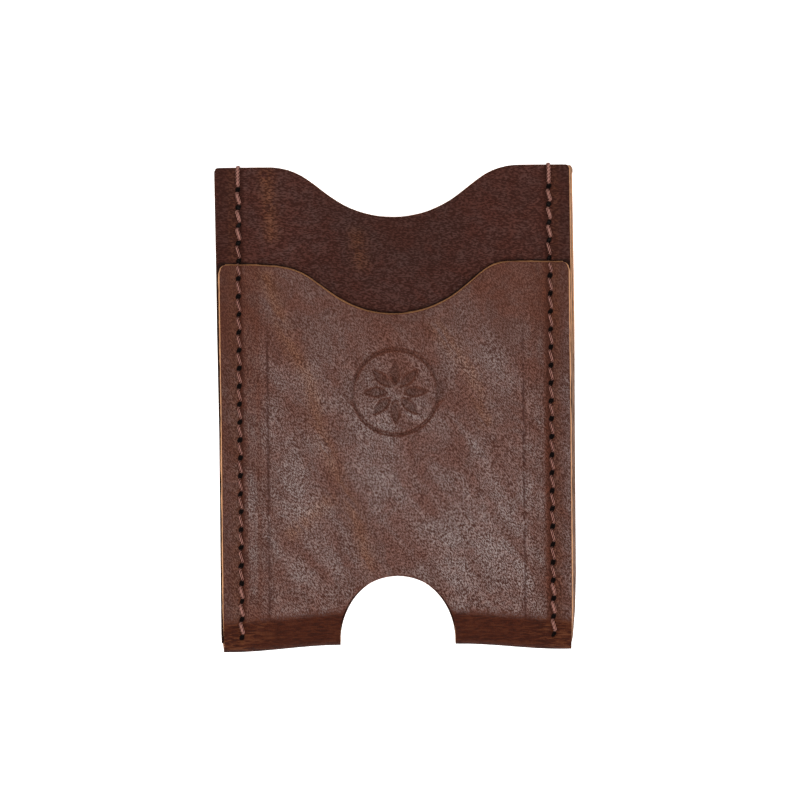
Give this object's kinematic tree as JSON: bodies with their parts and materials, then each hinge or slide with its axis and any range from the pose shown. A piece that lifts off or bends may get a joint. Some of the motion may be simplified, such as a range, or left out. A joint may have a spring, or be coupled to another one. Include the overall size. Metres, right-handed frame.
{
  "type": "minimalist wallet",
  "caption": "Slim upright leather card sleeve: folded shell, full-height divider, two pockets, curved finger scoops, thumb slot through the fold and lockstitched sides.",
  "frame": {"origin": "under the middle of the sleeve, on the surface that it lies on", "axes": "+X across the front to the right, +Y up the sleeve to its open end, +Z out of the front panel"},
  "size_m": [0.076, 0.1036, 0.0068],
  "materials": {
    "shell_leather": "oiled pull-up leather with a fine grain and a soft sheen, tan raw edges and a suede inside",
    "divider_leather": "the same leather a shade darker, tan raw edges",
    "seam_thread": "waxed twisted thread, satin"
  },
  "bodies": {
    "root": {"outer_shell": "shell_leather", "card_divider": "divider_leather", "left_needle_thread": "seam_thread", "left_bobbin_thread": "seam_thread", "right_needle_thread": "seam_thread", "right_bobbin_thread": "seam_thread"}
  },
  "joints": []
}
